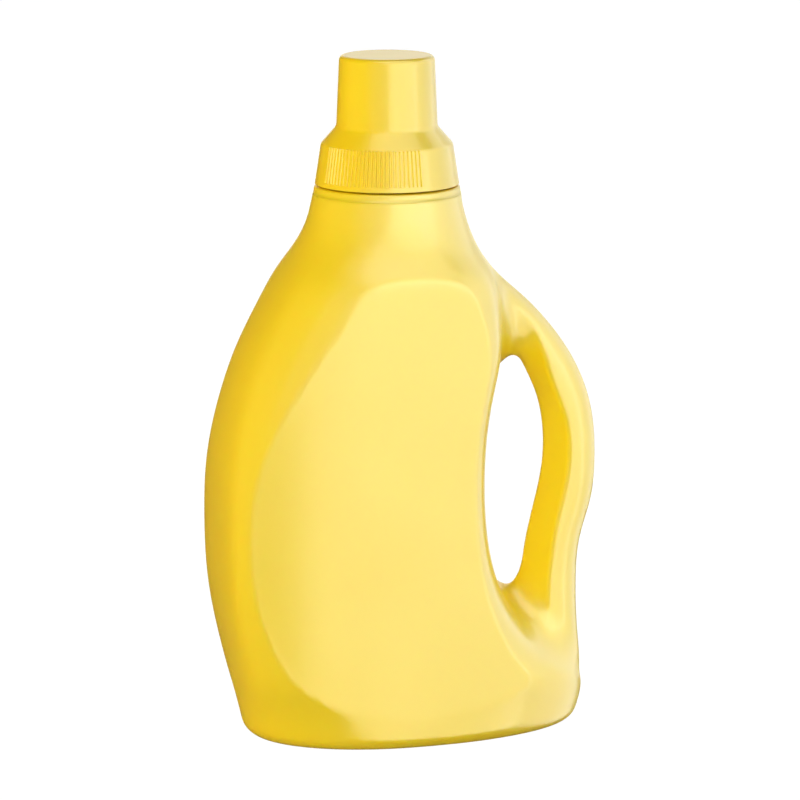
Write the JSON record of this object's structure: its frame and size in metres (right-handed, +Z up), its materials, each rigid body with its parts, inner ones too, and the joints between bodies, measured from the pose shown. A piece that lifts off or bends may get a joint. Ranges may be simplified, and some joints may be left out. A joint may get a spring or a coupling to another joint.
{
  "type": "toilet cleaner bottle",
  "caption": "Upright plastic cleaner bottle with a through-handle at one side, crowned front and back panels, a pour spout and a ribbed screw-on dosing cap.",
  "frame": {"origin": "bottom centre of the whole bottle's box, on the plane it stands on; the neck axis is 7 mm to its left", "axes": "+Z up along the neck axis, +X towards the handle, -Y out of the front panel"},
  "size_m": [0.1564, 0.084, 0.272],
  "materials": {
    "bottle_plastic": "satin, blow-moulded polyethylene",
    "cap_plastic": "semi-gloss, injection-moulded polypropylene",
    "spout_plastic": "natural polypropylene, satin",
    "seal_foam": "matte foamed polyethylene"
  },
  "bodies": {
    "bottle": {"bottle": "bottle_plastic", "pour_spout": "spout_plastic"},
    "seal": {"cap_seal": "seal_foam"},
    "cap": {"cap": "cap_plastic"}
  },
  "joints": [
    {"name": "cap_rise", "type": "slide", "parent": "bottle", "child": "seal", "axis": [0, 0, 1], "range_m": [0, 0.04]},
    {"name": "cap_turn", "type": "hinge", "parent": "seal", "child": "cap", "pos_m": [-0.007, 0, 0.2375], "axis": [0, 0, 1], "range_deg": [0, 1800]}
  ],
  "couplings": [
    {"joint": "cap_rise", "follows": "cap_turn", "m_per_rad": 0.0012732}
  ]
}
